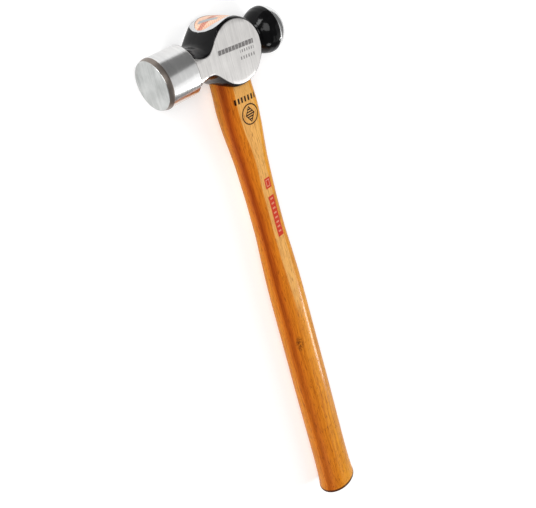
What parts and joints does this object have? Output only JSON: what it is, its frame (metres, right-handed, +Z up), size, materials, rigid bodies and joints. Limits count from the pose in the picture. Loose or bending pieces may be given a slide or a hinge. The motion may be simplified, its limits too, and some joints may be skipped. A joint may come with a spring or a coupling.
{
  "type": "ball peen hammer",
  "caption": "Ball peen hammer with a forged steel head, a round flat poll and ball peen, wedged onto an oval hickory handle, lying on its side.",
  "frame": {"origin": "on the surface the hammer lies on, under the middle of its bounding box", "axes": "+Z up through the upper cheek, +Y from the butt of the handle to the top of the head, +X from the poll to the ball; the hammer is tipped by about half a degree so that poll, ball and butt all touch the surface"},
  "size_m": [0.1006, 0.3936, 0.0302],
  "materials": {
    "forged_steel": "ground and brushed steel on the poll, cheeks, eye top and ball; gloss black lacquer in the forged recesses, the rims and the back of the peen",
    "hickory": "clear gloss lacquer over orange-brown hickory, grain along the handle",
    "wedge_wood": "bare red-brown hardwood end grain",
    "wedge_steel": "plain mild steel, ground flush"
  },
  "bodies": {
    "root": {"head": "forged_steel", "handle": "hickory", "wood_wedge": "wedge_wood", "steel_wedge": "wedge_steel"}
  },
  "joints": []
}
